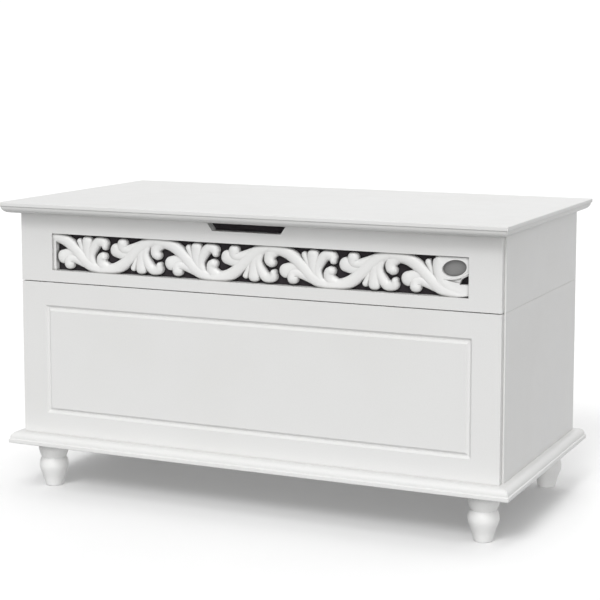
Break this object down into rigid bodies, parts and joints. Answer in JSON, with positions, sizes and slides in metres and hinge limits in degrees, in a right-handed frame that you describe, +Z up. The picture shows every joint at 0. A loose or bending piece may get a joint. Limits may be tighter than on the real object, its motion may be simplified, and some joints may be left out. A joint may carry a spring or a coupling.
{
  "type": "storage bench",
  "caption": "Long low chest on turned feet with a hinged lid to sit on, a pierced leaf scroll along the front and a routed front panel.",
  "frame": {"origin": "middle of the footprint, on the floor under the feet", "axes": "+Z up, +X along the bench's length to the right as seen from the front, -Y towards the front"},
  "size_m": [0.842, 0.452, 0.468],
  "materials": {
    "white_paint": "satin white paint on medium density fibreboard",
    "dark_backing": "black felt on hardboard",
    "steel": "zinc plated",
    "rubber": "soft clear pad"
  },
  "bodies": {
    "cabinet": {"back_panel": "white_paint", "base_board": "white_paint", "base_screw_back_left": "steel", "base_screw_back_right": "steel", "base_screw_front_left": "steel", "base_screw_front_right": "steel", "corner_post_back_left": "white_paint", "corner_post_back_right": "white_paint", "corner_post_front_left": "white_paint", "corner_post_front_right": "white_paint", "foot_back_left": "white_paint", "foot_back_right": "white_paint", "foot_bolt_back_left": "steel", "foot_bolt_back_right": "steel", "foot_bolt_front_left": "steel", "foot_bolt_front_right": "steel", "foot_front_left": "white_paint", "foot_front_right": "white_paint", "fret_backing": "dark_backing", "fretwork": "white_paint", "frieze_back": "white_paint", "frieze_front": "white_paint", "frieze_side_left": "white_paint", "frieze_side_right": "white_paint", "front_panel": "white_paint", "hinge_body_leaf_left": "steel", "hinge_body_leaf_right": "steel", "hinge_body_screw_left_1": "steel", "hinge_body_screw_left_2": "steel", "hinge_body_screw_right_1": "steel", "hinge_body_screw_right_2": "steel", "hinge_pin_left": "steel", "hinge_pin_right": "steel", "lid_bumper_left": "rubber", "lid_bumper_right": "rubber", "side_panel_left": "white_paint", "side_panel_right": "white_paint", "stay_plate_left": "steel", "stay_plate_right": "steel", "stay_plate_screw_left_1": "steel", "stay_plate_screw_left_2": "steel", "stay_plate_screw_right_1": "steel", "stay_plate_screw_right_2": "steel"},
    "lid": {"hinge_lid_leaf_left": "steel", "hinge_lid_leaf_right": "steel", "hinge_lid_screw_left_1": "steel", "hinge_lid_screw_left_2": "steel", "hinge_lid_screw_right_1": "steel", "hinge_lid_screw_right_2": "steel", "lid_board": "white_paint", "stay_bracket_left": "steel", "stay_bracket_right": "steel", "stay_bracket_screw_left_1": "steel", "stay_bracket_screw_left_2": "steel", "stay_bracket_screw_right_1": "steel", "stay_bracket_screw_right_2": "steel", "stay_rivet_left": "steel", "stay_rivet_right": "steel"},
    "stay_left": {"stay_arm_left": "steel"},
    "stay_right": {"stay_arm_right": "steel"}
  },
  "joints": [
    {"name": "lid_hinge", "type": "hinge", "parent": "cabinet", "child": "lid", "pos_m": [0, 0.194, 0.447], "axis": [-1, 0, 0], "range_deg": [0, 95]},
    {"name": "stay_left_pivot", "type": "hinge", "parent": "lid", "child": "stay_left", "pos_m": [-0.3832, 0.07446, 0.4365], "axis": [-1, 0, 0], "range_deg": [-47.5, 0]},
    {"name": "stay_right_pivot", "type": "hinge", "parent": "lid", "child": "stay_right", "pos_m": [0.3832, 0.07446, 0.4365], "axis": [-1, 0, 0], "range_deg": [-47.5, 0]}
  ],
  "couplings": [
    {"joint": "stay_left_pivot", "follows": "lid_hinge", "ratio": -0.5},
    {"joint": "stay_right_pivot", "follows": "lid_hinge", "ratio": -0.5}
  ]
}
